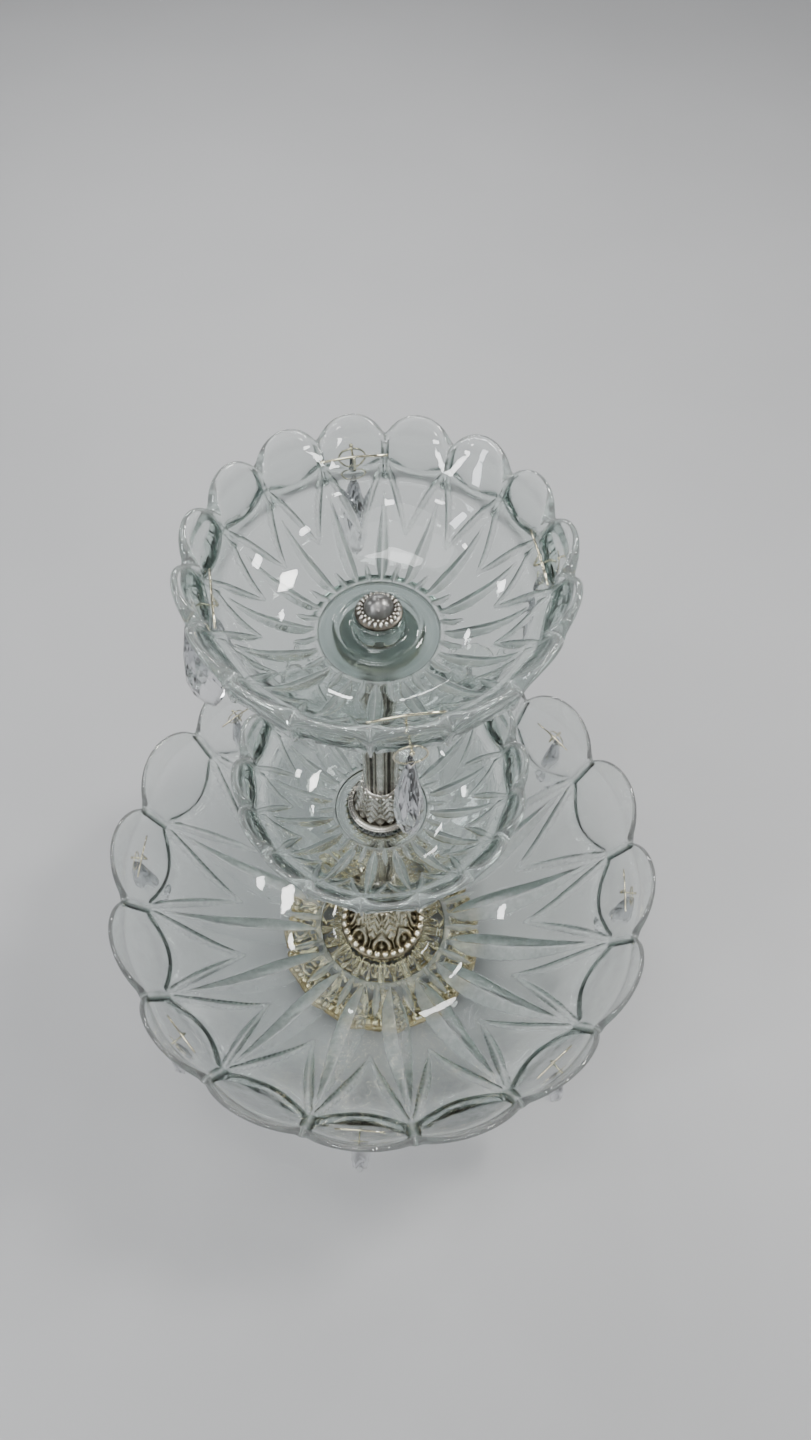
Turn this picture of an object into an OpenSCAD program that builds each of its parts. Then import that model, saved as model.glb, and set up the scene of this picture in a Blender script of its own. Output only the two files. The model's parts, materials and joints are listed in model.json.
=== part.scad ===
// Three-tier pressed-glass cake stand with a cast metal stem and hanging crystal drops.
// Origin: centre of the stem on the table, +Z up. Units: millimetres.

/* [Large bowl] */
// Radius of the glass at the notches between petals
large_notch_r = 147.5; // [130:0.5:160]
// Depth from the notches down to the flat floor
large_depth = 84; // [70:1:95]
// Radius of the flat floor in the middle
large_hub_r = 40; // [36:1:48]
// Thickness of the glass under the flat floor
large_hub_t = 7; // [6:0.5:9]
// Thickness of the sloping wall
large_wall = 4.2; // [3.5:0.1:5]
// Steepness of the wall curve, where 1 is a cone
large_curve = 1.95; // [1.6:0.05:2.4]
// Height of a petal above the notches
large_petal_h = 20; // [14:1:24]
// Turn of the bowl about the stem
large_turn = 8.7; // [0:0.1:22.5]

/* [Small bowls] */
// Radius of the glass at the notches between petals
small_notch_r = 67.8; // [60:0.1:76]
// Depth from the notches down to the flat floor
small_depth = 32.5; // [26:0.5:38]
// Radius of the flat floor in the middle
small_hub_r = 23; // [21:1:26]
// Thickness of the glass under the flat floor
small_hub_t = 6; // [5:0.5:8]
// Thickness of the sloping wall
small_wall = 3.6; // [3:0.1:4.2]
// Steepness of the wall curve, where 1 is a cone
small_curve = 2.2; // [1.8:0.05:2.6]
// Height of a petal above the notches
small_petal_h = 8.8; // [6:0.2:11]
// Radius of the raised glass boss round the stem hole
boss_r = 9.8; // [8.8:0.1:10]
// Height of the raised glass boss above the floor
boss_h = 8; // [5:0.5:8]
// Turn of the middle bowl about the stem
middle_turn = 17; // [0:0.1:22.5]
// Turn of the top bowl about the stem
top_turn = 0; // [0:0.1:22.5]

/* [Glass pattern] */
// Petals round each bowl
petals = 16; // [16]
// Lean of a petal away from vertical, in degrees
petal_lean = 13; // [8:1:20]
// Thickness of the glass at a petal's rim
rim_t = 3.3; // [2.8:0.1:3.8]
// Radius of the stem hole through each bowl
glass_bore_r = 4; // [3.6:0.1:4.4]

/* [Stem] */
// Radius of the threaded rod through the stand
rod_r = 3; // [2.5:0.1:3.2]
// Radius of the columns over their ridges
column_r = 8.8; // [8:0.1:9.2]
// Flutes round a column
flutes = 16; // [12:1:20]
// Radius of one flute
flute_r = 1.25; // [1:0.05:1.4]
// Length of the lower column
lower_column_len = 115; // [80:1:140]
// Length of the upper column
upper_column_len = 108; // [80:1:130]
// Height of the bell-shaped lower collar
lower_collar_h = 38; // [30:1:45]
// Radius of the lower collar's flange
lower_collar_r = 27; // [25:0.5:29]
// Height of the bell-shaped upper collar
upper_collar_h = 24; // [20:1:28]
// Radius of the upper collar's flange
upper_collar_r = 16.8; // [16:0.1:18]
// Height of the cup that carries a small bowl
seat_h = 10; // [8:1:13]
// Radius of the cup at its rim
seat_r = 17; // [15:0.5:19]
// Thickness of the soft rings between metal and glass
gasket_t = 1.2; // [0.8:0.1:2]
// Pearls round the lower collar
pearls = 30; // [24:1:34]

/* [Base] */
// Height of the base casting
base_h = 33; // [30:1:40]
// Radius of the base casting
base_r = 66; // [60:1:72]
// Feet under the base
feet = 4; // [3:1:6]
// Openings in each ring of the pierced base
piercings = 16; // [12:1:18]

/* [Knob] */
// Radius of the plain rim of the knob
knob_r = 8.9; // [8.4:0.1:9.6]
// Radius of the knob's dome
knob_dome_r = 5.6; // [5:0.1:6.2]
// Beads round the knob
knob_beads = 22; // [16:1:24]

/* [Hanging drops] */
// Drops round the top bowl
top_hangers = 4; // [4]
// Drops round the large bowl
bottom_hangers = 8; // [8]
// Length of a crystal drop
drop_len = 54; // [48:1:60]
// Width of a drop at its widest
drop_w = 16.4; // [14:0.2:18]
// Thickness of a drop at its thickest
drop_t = 11.6; // [10:0.2:13]
// Centreline radius of the jump ring
ring_r = 5.6; // [5.2:0.1:6]
// Radius of the jump ring's wire
ring_wire_r = 0.4; // [0.35:0.05:0.5]
// Radius of the hanger pin's wire
pin_wire_r = 0.5; // [0.4:0.05:0.5]
// Length of the hanger's cross bar inside the petal
pin_bar_len = 26; // [22:1:26]
// Height of the hanger below the notches
pin_drop = 7.5; // [7:0.1:8]

/* [Hidden] */
$fn = 96;
eps = 0.01;
fit_gap = 0.05;
petal_step = 360 / petals;
wall_steps = 10;
bell_steps = 8;

gasket_inner = 4.6;
metal_wall = 1.8;
rod_below = 7;
thread_in_knob = 4;
thread_spare = 0.7;
nut_h = 5;
nut_r = 5.8;
washer_t = 1.2;
washer_r = 8;
knob_washer_t = 0.8;
base_hub_t = 9;
column_bore_r = 5.2;

// Heights of the stack, from the table up
large_under = base_h + gasket_t;
large_floor = large_under + large_hub_t;
lower_collar_z = large_floor + gasket_t;
lower_column_z = lower_collar_z + lower_collar_h;
middle_seat_z = lower_column_z + lower_column_len;
middle_under = middle_seat_z + seat_h + gasket_t;
middle_floor = middle_under + small_hub_t;
upper_collar_z = middle_floor + gasket_t;
upper_column_z = upper_collar_z + upper_collar_h;
top_seat_z = upper_column_z + upper_column_len;
top_under = top_seat_z + seat_h + gasket_t;
top_floor = top_under + small_hub_t;
knob_washer_z = top_floor + boss_h;
knob_z = knob_washer_z + knob_washer_t;
rod_bottom = base_h - base_hub_t - rod_below;
rod_top = knob_z + thread_in_knob;
large_notch_z = large_floor + large_depth;
middle_notch_z = middle_floor + small_depth;
top_notch_z = top_floor + small_depth;

// Places of the hangers: across the petal, just under the notches
top_first = top_turn + petal_step / 2;
bottom_first = large_turn - petal_step / 2;
hole_play = pin_wire_r + ring_wire_r + fit_gap;
ring_drop = 2 * ring_r - hole_play;
eye_r = 1.5;
eye_offset = eye_r - 2 * ring_wire_r;
eye_rim = 1.4;
neck_t = 2.4;
drop_top = eye_r + eye_rim;

// ---- Curves shared by the parts ----

// Inner wall of a bowl: radius and height at fraction s of the way from hub to notch, and its slope
function wall_in_r(hub, rim, s) = hub + s * (rim - hub);
function wall_in_z(depth, curve, s) = depth * (pow(s, curve) - 1);
function wall_slope(hub, rim, depth, curve, s) = atan(depth * curve * pow(s, curve - 1) / (rim - hub));
// Inner radius of the wall at a height z below the notches
function wall_r_at(hub, rim, depth, curve, z) = wall_in_r(hub, rim, pow(1 + z / depth, 1 / curve));
// Inner radius at the notches, which leaves the wall's thickness outside it
function rim_inner(notch, hub, depth, curve, wall) =
    notch - wall * sin(wall_slope(hub, notch, depth, curve, 1));
// Outline of a bell that narrows upwards, at fraction t of its height
function bell_r(low, high, t) = high + (low - high) * pow(1 - t, 1.8);

large_rim = rim_inner(large_notch_r, large_hub_r, large_depth, large_curve, large_wall);
small_rim = rim_inner(small_notch_r, small_hub_r, small_depth, small_curve, small_wall);

// ---- Glass ----

module bowl_section(hub, rim, depth, curve, wall, hub_t, petal_h) {
    tip = rim + petal_h * tan(petal_lean);
    inner = [for (i = [0:wall_steps]) [
        wall_in_r(hub, rim, i / wall_steps),
        wall_in_z(depth, curve, i / wall_steps)
    ]];
    outer = [for (i = [wall_steps:-1:1]) let (a = wall_slope(hub, rim, depth, curve, i / wall_steps)) [
        wall_in_r(hub, rim, i / wall_steps) + wall * sin(a),
        wall_in_z(depth, curve, i / wall_steps) - wall * cos(a)
    ]];
    polygon(concat(
        [[glass_bore_r, -depth]],
        inner,
        [[tip, petal_h], [tip + rim_t, petal_h]],
        outer,
        [[hub, -depth - wall], [hub, -depth - hub_t], [glass_bore_r, -depth - hub_t]]
    ));
}

// Cuts the notches between the round petals, whose arcs meet in a small flat at each notch
module notch_cuts(notch, petal_h) {
    half_chord = notch * sin(petal_step / 2);
    arc_r = (pow(half_chord, 2) + pow(petal_h, 2)) / (2 * petal_h);
    half_cut = 0.95 * half_chord;
    for (i = [0:petals - 1])
        rotate([90, 0, i * petal_step + 90])
            linear_extrude(2 * notch)
                difference() {
                    translate([-half_cut, petal_h / 20])
                        square([2 * half_cut, 2 * petal_h]);
                    for (side = [-1, 1])
                        translate([side * half_chord, petal_h - arc_r])
                            circle(r = arc_r);
                }
}

module hanger_holes(count, first, r_out) {
    for (i = [0:count - 1])
        rotate([0, 0, first + i * 360 / count])
            translate([r_out / 2, 0, -pin_drop])
                rotate([0, 90, 0])
                    cylinder(r = pin_wire_r + fit_gap, h = r_out / 2 + rim_t);
}

module glass_bowl(notch, hub, rim, depth, curve, wall, hub_t, petal_h) {
    difference() {
        rotate_extrude()
            bowl_section(hub, rim, depth, curve, wall, hub_t, petal_h);
        notch_cuts(notch, petal_h);
    }
}

module small_bowl() {
    glass_bowl(small_notch_r, small_hub_r, small_rim, small_depth, small_curve, small_wall, small_hub_t,
        small_petal_h);
    translate([0, 0, -small_depth - eps])
        ring_plate(boss_r, glass_bore_r, boss_h + eps);
}

module large_bowl() {
    color([0.86, 0.92, 0.9, 0.4])
        translate([0, 0, large_notch_z])
            rotate([0, 0, large_turn])
                difference() {
                    glass_bowl(large_notch_r, large_hub_r, large_rim, large_depth, large_curve, large_wall,
                        large_hub_t, large_petal_h);
                    hanger_holes(bottom_hangers, bottom_first - large_turn, large_notch_r);
                }
}

module middle_bowl() {
    color([0.86, 0.92, 0.93, 0.4])
        translate([0, 0, middle_notch_z])
            rotate([0, 0, middle_turn])
                small_bowl();
}

module top_bowl() {
    color([0.86, 0.92, 0.93, 0.4])
        translate([0, 0, top_notch_z])
            rotate([0, 0, top_turn])
                difference() {
                    small_bowl();
                    hanger_holes(top_hangers, top_first - top_turn, small_notch_r);
                }
}

// ---- Stem ----

module ring_plate(outer, inner, h) {
    difference() {
        cylinder(r = outer, h = h);
        translate([0, 0, -1])
            cylinder(r = inner, h = h + 2);
    }
}

module gasket(z, outer, inner) {
    color([0.75, 0.76, 0.74])
        translate([0, 0, z])
            ring_plate(outer, inner, gasket_t);
}

module base_gasket() {
    gasket(base_h, 15, gasket_inner);
}

module lower_collar_gasket() {
    gasket(large_floor, lower_collar_r - 2, boss_r + 1);
}

module middle_gasket() {
    gasket(middle_under - gasket_t, seat_r - 2, gasket_inner);
}

module upper_collar_gasket() {
    gasket(middle_floor, upper_collar_r - 1.4, boss_r + 0.5);
}

module top_gasket() {
    gasket(top_under - gasket_t, seat_r - 2, gasket_inner);
}

module center_rod() {
    color([0.72, 0.72, 0.7])
        translate([0, 0, rod_bottom])
            cylinder(r = rod_r, h = rod_top - rod_bottom);
}

module column(z, len) {
    color([0.7, 0.68, 0.63])
        translate([0, 0, z])
            linear_extrude(len)
                difference() {
                    circle(r = column_r);
                    circle(r = column_bore_r);
                    for (i = [0:flutes - 1])
                        rotate(i * 360 / flutes)
                            translate([column_r + flute_r / 3, 0])
                                circle(r = flute_r, $fn = 32);
                }
}

module lower_column() {
    column(lower_column_z, lower_column_len);
}

module upper_column() {
    column(upper_column_z, upper_column_len);
}

// A hollow bell with a plain flange at its foot and a solid crown that holds the rod
module bell(flange_r, crown_r, h, flange_t) {
    foot_r = flange_r - 1.5;
    crown_t = h / 5;
    hollow_h = h - crown_t;
    outside = [for (i = [0:bell_steps]) [bell_r(foot_r, crown_r, i / bell_steps), h * i / bell_steps]];
    inside = [for (i = [bell_steps:-1:0]) let (t = i / bell_steps) [
        bell_r(foot_r, crown_r, t * hollow_h / h) - metal_wall,
        hollow_h * t
    ]];
    rotate_extrude() {
        polygon(concat(outside, [[rod_r + fit_gap, h], [rod_r + fit_gap, hollow_h]], inside));
        translate([flange_r - flange_t / 2, flange_t / 2])
            circle(d = flange_t);
        translate([foot_r - metal_wall, 0])
            square([flange_r - flange_t / 2 - foot_r + metal_wall, flange_t]);
    }
}

module lower_collar() {
    flange_t = 2.4;
    pearl_r = 1.6;
    color([0.62, 0.6, 0.5])
        translate([0, 0, lower_collar_z]) {
            bell(lower_collar_r, column_r + 0.8, lower_collar_h, flange_t);
            for (i = [0:pearls - 1])
                rotate([0, 0, i * 360 / pearls])
                    translate([lower_collar_r - 2.6, 0, flange_t + 0.6])
                        sphere(r = pearl_r, $fn = 24);
        }
}

module upper_collar() {
    color([0.66, 0.64, 0.58])
        translate([0, 0, upper_collar_z])
            bell(upper_collar_r, column_r + 0.6, upper_collar_h, 1.8);
}

// A shallow cup, wide at the top, that carries a small bowl
module seat(z) {
    color([0.62, 0.6, 0.54])
        translate([0, 0, z])
            difference() {
                rotate_extrude()
                    polygon(concat(
                        [[0, seat_h], [0, 0]],
                        [for (i = [0:bell_steps]) let (t = i / bell_steps) [
                            bell_r(seat_r, column_r + 0.4, 1 - t),
                            (seat_h - 1.5) * t
                        ]],
                        [[seat_r, seat_h]]
                    ));
                translate([0, 0, -1])
                    cylinder(r = rod_r + fit_gap, h = seat_h + 2);
            }
}

module middle_seat() {
    seat(middle_seat_z);
}

module top_seat() {
    seat(top_seat_z);
}

// ---- Base ----

module base_shell() {
    hub_r = 17;
    rim_h = 12;
    rim_low = 8;
    shell_t = 3.2;
    hub_low = base_h - base_hub_t;
    shoulder = base_h - 4;
    under_hub_r = hub_r - 2;
    top_curve = [for (i = [0:bell_steps]) let (t = i / bell_steps) [
        hub_r + (base_r - hub_r) * t,
        bell_r(shoulder, rim_h, t)
    ]];
    under_curve = [for (i = [bell_steps:-1:0]) let (t = i / bell_steps) [
        under_hub_r + (base_r - shell_t - under_hub_r) * t,
        bell_r(hub_low, rim_low, t)
    ]];
    rotate_extrude()
        polygon(concat(
            [[rod_r + fit_gap, base_h], [hub_r, base_h]],
            top_curve,
            [[base_r, rim_low]],
            under_curve,
            [[rod_r + fit_gap, hub_low]]
        ));
}

module base_foot() {
    foot_r = 6;
    foot_h = 11;
    taper = 1.2;
    translate([base_r - foot_r - 2, 0, 0])
        cylinder(r1 = foot_r - taper, r2 = foot_r, h = foot_h);
}

module base_casting() {
    inner_row_r = 32;
    inner_hole_r = 4;
    outer_row_r = 45;
    outer_hole_r = 4.6;
    color([0.72, 0.66, 0.48])
        difference() {
            union() {
                base_shell();
                for (i = [0:feet - 1])
                    rotate([0, 0, (i + 0.5) * 360 / feet])
                        base_foot();
            }
            for (i = [0:piercings - 1])
                rotate([0, 0, i * 360 / piercings]) {
                    translate([inner_row_r, 0, 0])
                        cylinder(r = inner_hole_r, h = base_h, $fn = 48);
                    rotate([0, 0, 180 / piercings])
                        translate([outer_row_r, 0, 0])
                            cylinder(r = outer_hole_r, h = base_h, $fn = 48);
                }
        }
}

module base_washer() {
    color([0.7, 0.7, 0.68])
        translate([0, 0, base_h - base_hub_t - washer_t])
            ring_plate(washer_r, rod_r + fit_gap, washer_t);
}

module base_nut() {
    color([0.7, 0.7, 0.68])
        translate([0, 0, base_h - base_hub_t - washer_t - nut_h])
            difference() {
                linear_extrude(nut_h)
                    circle(r = nut_r, $fn = 6);
                translate([0, 0, -1])
                    cylinder(r = rod_r + fit_gap, h = nut_h + 2);
            }
}

// ---- Knob ----

module knob_washer() {
    color([0.8, 0.8, 0.78])
        translate([0, 0, knob_washer_z])
            ring_plate(knob_r - 1, rod_r + 0.4, knob_washer_t);
}

module top_knob() {
    rim_h = 1.6;
    bead_r = 0.95;
    bead_z = rim_h + 0.9;
    dome_z = 2.4;
    color([0.66, 0.64, 0.6])
        translate([0, 0, knob_z])
            difference() {
                union() {
                    cylinder(r = knob_r, h = rim_h);
                    cylinder(r = knob_dome_r + 1.2, h = bead_z + 0.6);
                    translate([0, 0, dome_z])
                        intersection() {
                            sphere(r = knob_dome_r);
                            cylinder(r = knob_dome_r + 1, h = knob_dome_r);
                        }
                    for (i = [0:knob_beads - 1])
                        rotate([0, 0, i * 360 / knob_beads])
                            translate([knob_dome_r + 1.5, 0, bead_z])
                                sphere(r = bead_r, $fn = 20);
                }
                translate([0, 0, -1])
                    cylinder(r = rod_r + fit_gap, h = thread_in_knob + thread_spare + 1);
            }
}

// ---- Hangers and drops ----

// Radius at which a ring hangs, clear of the glass outside a petal
function hang_r(notch) = notch - 0.9;

module hanger_pin(notch, inner) {
    half_bar = pin_bar_len / 2;
    bar_r = sqrt(pow(inner - 3 * pin_wire_r, 2) - pow(half_bar, 2));
    tail_end = hang_r(notch) + 2;
    translate([bar_r, -half_bar, 0])
        rotate([-90, 0, 0])
            cylinder(r = pin_wire_r, h = pin_bar_len, $fn = 32);
    translate([bar_r, 0, 0])
        rotate([0, 90, 0])
            cylinder(r = pin_wire_r, h = tail_end - bar_r, $fn = 32);
    translate([tail_end, 0, 0])
        sphere(r = 2 * pin_wire_r, $fn = 32);
}

module hanger_pins(count, first, notch, inner, z) {
    color([0.85, 0.82, 0.7])
        translate([0, 0, z])
            for (i = [0:count - 1])
                rotate([0, 0, first + i * 360 / count])
                    hanger_pin(notch, inner);
}

module top_hanger_pins() {
    hanger_pins(top_hangers, top_first, small_notch_r,
        wall_r_at(small_hub_r, small_rim, small_depth, small_curve, -pin_drop), top_notch_z - pin_drop);
}

module bottom_hanger_pins() {
    hanger_pins(bottom_hangers, bottom_first, large_notch_r,
        wall_r_at(large_hub_r, large_rim, large_depth, large_curve, -pin_drop), large_notch_z - pin_drop);
}

module jump_ring() {
    translate([0, 0, hole_play - ring_r])
        rotate([0, 90, 0])
            rotate_extrude()
                translate([ring_r, 0])
                    circle(r = ring_wire_r, $fn = 32);
}

// Half outline of a drop below its eye: neck, shoulder, widest point, blunt tip
module drop_outline(neck_half, widest_half, tip_half) {
    widest_z = drop_top - 0.66 * drop_len;
    neck_z = -1.6 * eye_r;
    side = [
        [0.7 * neck_half, drop_top],
        [neck_half, 0.6 * drop_top],
        [neck_half, neck_z],
        [widest_half, widest_z],
        [tip_half, drop_top - drop_len]
    ];
    polygon(concat(side, [for (i = [len(side) - 1:-1:0]) [-side[i][0], side[i][1]]]));
}

module drop_prism(turn, neck_half, widest_half, tip_half) {
    depth = 2 * drop_w;
    rotate([0, 0, turn])
        rotate([90, 0, 0])
            translate([0, 0, -depth / 2])
                linear_extrude(depth)
                    drop_outline(neck_half, widest_half, tip_half);
}

module crystal() {
    bevel = (drop_w + drop_t) / 4 * 1.06;
    translate([0, 0, -ring_drop - eye_offset])
        difference() {
            intersection() {
                drop_prism(0, eye_r + eye_rim, drop_w / 2, 2.2);
                drop_prism(90, neck_t / 2, drop_t / 2, 1.6);
                drop_prism(45, eye_r + eye_rim, bevel, 2);
                drop_prism(-45, eye_r + eye_rim, bevel, 2);
            }
            rotate([90, 0, 0])
                translate([0, 0, -drop_t])
                    cylinder(r = eye_r, h = 2 * drop_t, $fn = 48);
        }
}

module at_hanger(i, count, first, notch, z) {
    rotate([0, 0, first + (i - 1) * 360 / count])
        translate([hang_r(notch), 0, z])
            children();
}

module top_ring(i) {
    color([0.8, 0.79, 0.72])
        at_hanger(i, top_hangers, top_first, small_notch_r, top_notch_z - pin_drop)
            jump_ring();
}

module top_drop(i) {
    color([0.9, 0.94, 0.95, 0.5])
        at_hanger(i, top_hangers, top_first, small_notch_r, top_notch_z - pin_drop)
            crystal();
}

module bottom_ring(i) {
    color([0.8, 0.79, 0.72])
        at_hanger(i, bottom_hangers, bottom_first, large_notch_r, large_notch_z - pin_drop)
            jump_ring();
}

module bottom_drop(i) {
    color([0.9, 0.94, 0.95, 0.5])
        at_hanger(i, bottom_hangers, bottom_first, large_notch_r, large_notch_z - pin_drop)
            crystal();
}

base_casting();
base_washer();
base_nut();
center_rod();
base_gasket();
large_bowl();
lower_collar_gasket();
lower_collar();
lower_column();
middle_seat();
middle_gasket();
middle_bowl();
upper_collar_gasket();
upper_collar();
upper_column();
top_seat();
top_gasket();
top_bowl();
knob_washer();
top_knob();
top_hanger_pins();
bottom_hanger_pins();
for (i = [1:top_hangers]) {
    top_ring(i);
    top_drop(i);
}
for (i = [1:bottom_hangers]) {
    bottom_ring(i);
    bottom_drop(i);
}
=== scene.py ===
"""Looks of the tiered cake stand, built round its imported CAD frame. The pieces of the stand are worked
out in millimetres, in the frame's axes, and add_object scales them to metres. The floor and the
lights are in metres."""

import json
import math

import bmesh
import bpy
import numpy as np
from mathutils import Matrix, Vector


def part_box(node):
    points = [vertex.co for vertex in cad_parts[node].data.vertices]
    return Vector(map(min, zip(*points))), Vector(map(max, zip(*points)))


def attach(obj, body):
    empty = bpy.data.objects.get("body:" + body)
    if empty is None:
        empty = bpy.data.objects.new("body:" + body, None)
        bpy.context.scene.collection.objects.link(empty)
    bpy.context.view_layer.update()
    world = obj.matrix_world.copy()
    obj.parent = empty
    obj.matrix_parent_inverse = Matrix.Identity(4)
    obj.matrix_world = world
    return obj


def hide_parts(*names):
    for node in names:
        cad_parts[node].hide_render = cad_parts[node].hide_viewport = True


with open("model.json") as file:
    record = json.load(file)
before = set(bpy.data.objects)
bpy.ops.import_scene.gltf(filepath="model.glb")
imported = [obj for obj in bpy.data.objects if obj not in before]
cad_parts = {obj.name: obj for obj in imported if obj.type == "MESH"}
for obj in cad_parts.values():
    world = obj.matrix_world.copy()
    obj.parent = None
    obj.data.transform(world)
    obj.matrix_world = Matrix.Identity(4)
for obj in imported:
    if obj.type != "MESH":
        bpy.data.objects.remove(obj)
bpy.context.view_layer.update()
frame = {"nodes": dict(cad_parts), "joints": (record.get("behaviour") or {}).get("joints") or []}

MM = 0.001
TAU = 2 * math.pi


# ---- mesh helpers

def smoothstep(low, high, x):
    """Rises smoothly from 0 at low to 1 at high, or falls where high is the lower of the two."""
    t = np.clip((x - low) / (high - low), 0, 1)
    return t * t * (3 - 2 * t)


def bottom(node):
    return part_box(node)[0].z / MM


def top(node):
    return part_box(node)[1].z / MM


def add_object(name, points, faces, body, materials, replaced, smooth=True):
    """Makes a mesh object from points in millimetres, and fastens it to its CAD body."""
    mesh = bpy.data.meshes.new(name)
    mesh.from_pydata((np.asarray(points, float) * MM).tolist(), [], faces)
    mesh.update()
    for material in materials:
        mesh.materials.append(material)
    mesh.polygons.foreach_set("use_smooth", [smooth] * len(mesh.polygons))
    obj = bpy.data.objects.new(name, mesh)
    bpy.context.scene.collection.objects.link(obj)
    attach(obj, body)
    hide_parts(*replaced)
    return obj


def grid_faces(rows, columns, closed=True):
    """Quads of a grid of points whose rows are rings. A closed grid's last row joins its first."""
    i = np.arange(rows if closed else rows - 1)
    a, b = np.meshgrid(i, np.arange(columns), indexing="ij")
    a2, b2 = (a + 1) % rows, (b + 1) % columns
    quads = np.stack([a * columns + b, a * columns + b2, a2 * columns + b2, a2 * columns + b], -1)
    return quads.reshape(-1, 4).tolist()


def volume(points, faces):
    """Signed volume inside a closed mesh, positive when its faces look outwards."""
    p = np.asarray(points, float)
    f = np.asarray(faces)
    a, b, c, d = (p[f[:, k]] for k in range(4))
    twice = np.cross(b, c) + np.cross(c, d)
    return np.einsum("ij,ij->", a, twice) / 6


def outward(points, faces):
    """The faces of a closed mesh, turned round if they look inwards."""
    return faces if volume(points, faces) > 0 else [f[::-1] for f in faces]


def capped_faces(points, rows, columns):
    """Outward faces of a tube, with a cap over its first and its last ring."""
    sides = grid_faces(rows, columns, closed=False)
    caps = [list(range(columns))[::-1], list(range((rows - 1) * columns, rows * columns))]
    faces = sides + caps
    return faces if volume(points, sides) > 0 else [f[::-1] for f in faces]


def set_attribute(obj, name, values):
    attribute = obj.data.attributes.new(name, "FLOAT", "POINT")
    attribute.data.foreach_set("value", np.asarray(values, np.float32).ravel())


def resample(outline, spacing):
    """Points along a closed outline, no further apart than the spacing, with its corners kept."""
    made = []
    for k, a in enumerate(outline):
        b = outline[(k + 1) % len(outline)]
        n = max(1, math.ceil(math.dist(a, b) / spacing))
        made += [(a[0] + (b[0] - a[0]) * i / n, a[1] + (b[1] - a[1]) * i / n) for i in range(n)]
    return np.array(made)


def outline_normals(outline):
    """Unit normals of a closed outline, to its right as it runs."""
    d = np.roll(outline, -1, 0) - np.roll(outline, 1, 0)
    d /= np.linalg.norm(d, axis=1)[:, None] + 1e-9
    return np.stack([d[:, 1], -d[:, 0]], 1)


def polar(r, angle, z):
    return np.array([r * math.cos(angle), r * math.sin(angle), z])


class Solid:
    """Collects closed shapes, in millimetres, that make one piece. Each point has a relief value,
    which the metals read: below 0 is a dark recess and above 0 is rubbed bright. On rods and balls it
    also holds painted highlights and painted shade."""

    def __init__(self):
        self.points, self.faces, self.relief, self.slots = [], [], [], []
        self.count = 0

    def add(self, points, faces, relief, slot=0):
        self.faces += [[k + self.count for k in f] for f in faces]
        self.slots += [slot] * len(faces)
        self.points.append(points)
        self.relief.append(np.broadcast_to(relief, len(points)))
        self.count += len(points)

    def turned(self, outline, columns, relief=None, *, spacing, slot=0, shade=0.0):
        """A solid turned round the stem. relief(angle, r, z) pushes its surface out, in millimetres.
        The outline runs anticlockwise, with the radius to the right and the height up."""
        points = resample(outline, spacing)
        normals = outline_normals(points)
        angle = np.arange(columns) * TAU / columns
        push = np.zeros((len(points), columns))
        if relief is not None:
            push = push + relief(angle[None, :], points[:, :1], points[:, 1:])
        r = points[:, :1] + normals[:, :1] * push
        z = points[:, 1:] + normals[:, 1:] * push
        grid = np.stack([r * np.cos(angle), r * np.sin(angle), z + 0 * angle], -1).reshape(-1, 3)
        faces = outward(grid, grid_faces(len(points), columns))
        self.add(grid, faces, (push + shade).ravel(), slot)

    def sweep(self, path, radius, sides=10, flat=1.0, up=(0, 0, 1), closed=False, shade=0.35):
        """A rod along a path. radius may vary along it, and flat scales its height along up."""
        path = np.asarray(path, float)
        n = len(path)
        radius = np.broadcast_to(radius, n)
        along = np.roll(path, -1, 0) - np.roll(path, 1, 0) if closed else np.gradient(path, axis=0)
        along /= np.linalg.norm(along, axis=1)[:, None] + 1e-12
        up = np.broadcast_to(np.asarray(up, float), path.shape)
        side = np.cross(along, up)
        side /= np.linalg.norm(side, axis=1)[:, None] + 1e-12
        over = np.cross(side, along)
        a = np.arange(sides) * TAU / sides
        ring = side[:, None] * np.cos(a)[:, None] + flat * over[:, None] * np.sin(a)[:, None]
        points = (path[:, None] + radius[:, None, None] * ring).reshape(-1, 3)
        faces = outward(points, grid_faces(n, sides)) if closed else capped_faces(points, n, sides)
        # painted highlight along the up side of the rod and painted shade along its underside, added to its
        # shade
        relief = np.broadcast_to(shade, n)[:, None] + 0.25 * np.sin(a) - 0.1
        self.add(points, faces, relief.ravel())

    def ball(self, centre, radius, axis=(0, 0, 1), stretch=1.0, sides=10, shade=0.45, rings=7):
        """A ball, stretched along its axis, with painted shade over the half where the axis starts, against
        the metal behind it.
        """
        axis = np.asarray(axis, float) / np.linalg.norm(axis)
        turn = np.linspace(0.06, math.pi - 0.06, rings)
        path = np.asarray(centre, float) - np.cos(turn)[:, None] * axis * radius * stretch
        side = (0, 0, 1) if abs(axis[2]) < 0.9 else (1, 0, 0)
        # painted shade: the ball's value falls to 0 over its back half, towards the metal it sits on
        shades = (shade + 0.1) * smoothstep(0.5, 1.6, turn)
        self.sweep(path, radius * np.sin(turn), sides, 1, side, shade=shades)

    def build(self, name, body, slot, materials, replaced):
        points = np.concatenate(self.points)
        obj = add_object(name, points, self.faces, body, materials, replaced)
        set_attribute(obj, "relief", np.concatenate(self.relief))
        obj.data.polygons.foreach_set("material_index", self.slots)


# ---- materials

def new_material(name):
    """A new material, its node tree and its shader."""
    material = bpy.data.materials.new(name)
    material.use_nodes = True
    return material, material.node_tree, material.node_tree.nodes["Principled BSDF"]


def add_node(tree, kind, values=(), **settings):
    """A new node, with values for its input sockets and settings of the node itself."""
    made = tree.nodes.new(kind)
    for key, value in settings.items():
        setattr(made, key, value)
    for socket, value in dict(values).items():
        made.inputs[socket].default_value = value
    return made


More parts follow.
